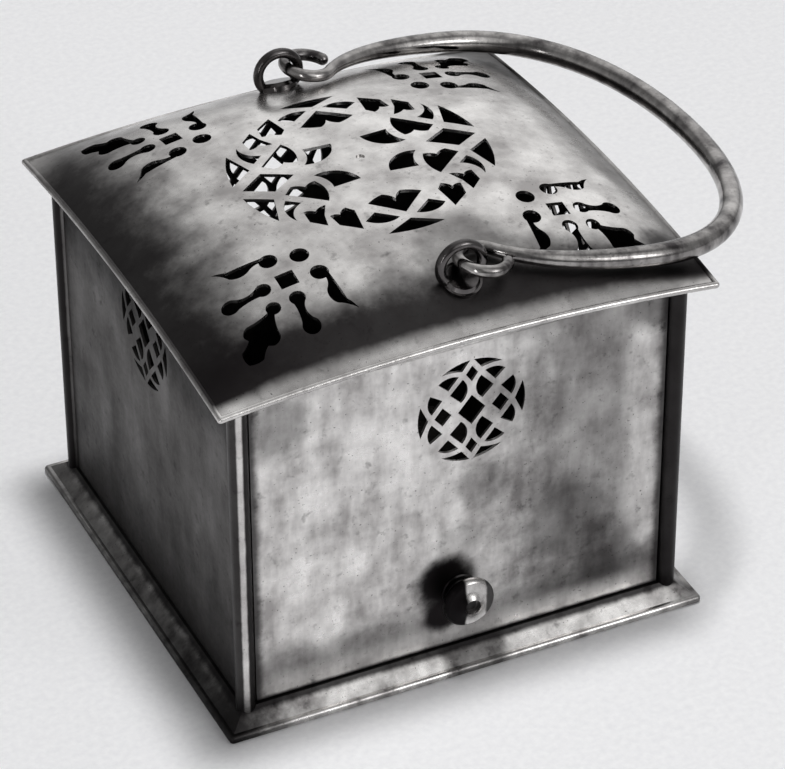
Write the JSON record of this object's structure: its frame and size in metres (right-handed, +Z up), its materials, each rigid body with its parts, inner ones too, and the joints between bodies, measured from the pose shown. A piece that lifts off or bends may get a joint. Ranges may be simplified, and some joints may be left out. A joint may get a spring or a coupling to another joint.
{
  "type": "foot warmer",
  "caption": "Square metal foot warmer with a domed pierced cover, pierced walls, a knobbed front flap on a rod, an ember pan and a swinging bail handle",
  "frame": {"origin": "middle of the foot, on the plane that it stands on", "axes": "+X to the right along the front with the flap, +Y to the back, +Z up"},
  "size_m": [0.258, 0.2052, 0.1927],
  "materials": {
    "cover_metal": "worn polish with fine scratches and dull patches",
    "wall_metal": "mottled, half polished",
    "post_metal": "worn polish",
    "skirt_metal": "dull, polished on the lip",
    "handle_metal": "cast, rubbed bright where it is held",
    "knob_metal": "turned, polished",
    "inner_metal": "dull and sooted",
    "pan_iron": "sooted sheet iron"
  },
  "bodies": {
    "box": {"base_tray": "inner_metal", "base_skirt": "skirt_metal", "post_front_left": "post_metal", "post_front_right": "post_metal", "post_back_left": "post_metal", "post_back_right": "post_metal", "left_panel": "wall_metal", "right_panel": "wall_metal", "back_panel": "wall_metal", "front_header": "wall_metal", "top_cover": "cover_metal", "front_eye": "handle_metal", "rear_eye": "handle_metal", "front_eye_boss": "inner_metal", "rear_eye_boss": "inner_metal", "door_hinge_rod": "inner_metal", "ember_pan": "pan_iron", "pan_grip": "pan_iron", "runner_left": "inner_metal", "runner_right": "inner_metal"},
    "door": {"door_panel": "wall_metal", "door_knob": "knob_metal", "knob_plate": "knob_metal", "knob_burr": "inner_metal"},
    "bail": {"bail_handle": "handle_metal"}
  },
  "joints": [
    {"name": "door_hinge", "type": "hinge", "parent": "box", "child": "door", "pos_m": [0, -0.0899, 0.154], "axis": [-1, 0, 0], "range_deg": [0, 92]},
    {"name": "bail_hinge", "type": "hinge", "parent": "box", "child": "bail", "pos_m": [0.00361, 0, 0.18331], "axis": [0, -1, 0], "range_deg": [-1.2, 199.2]}
  ]
}
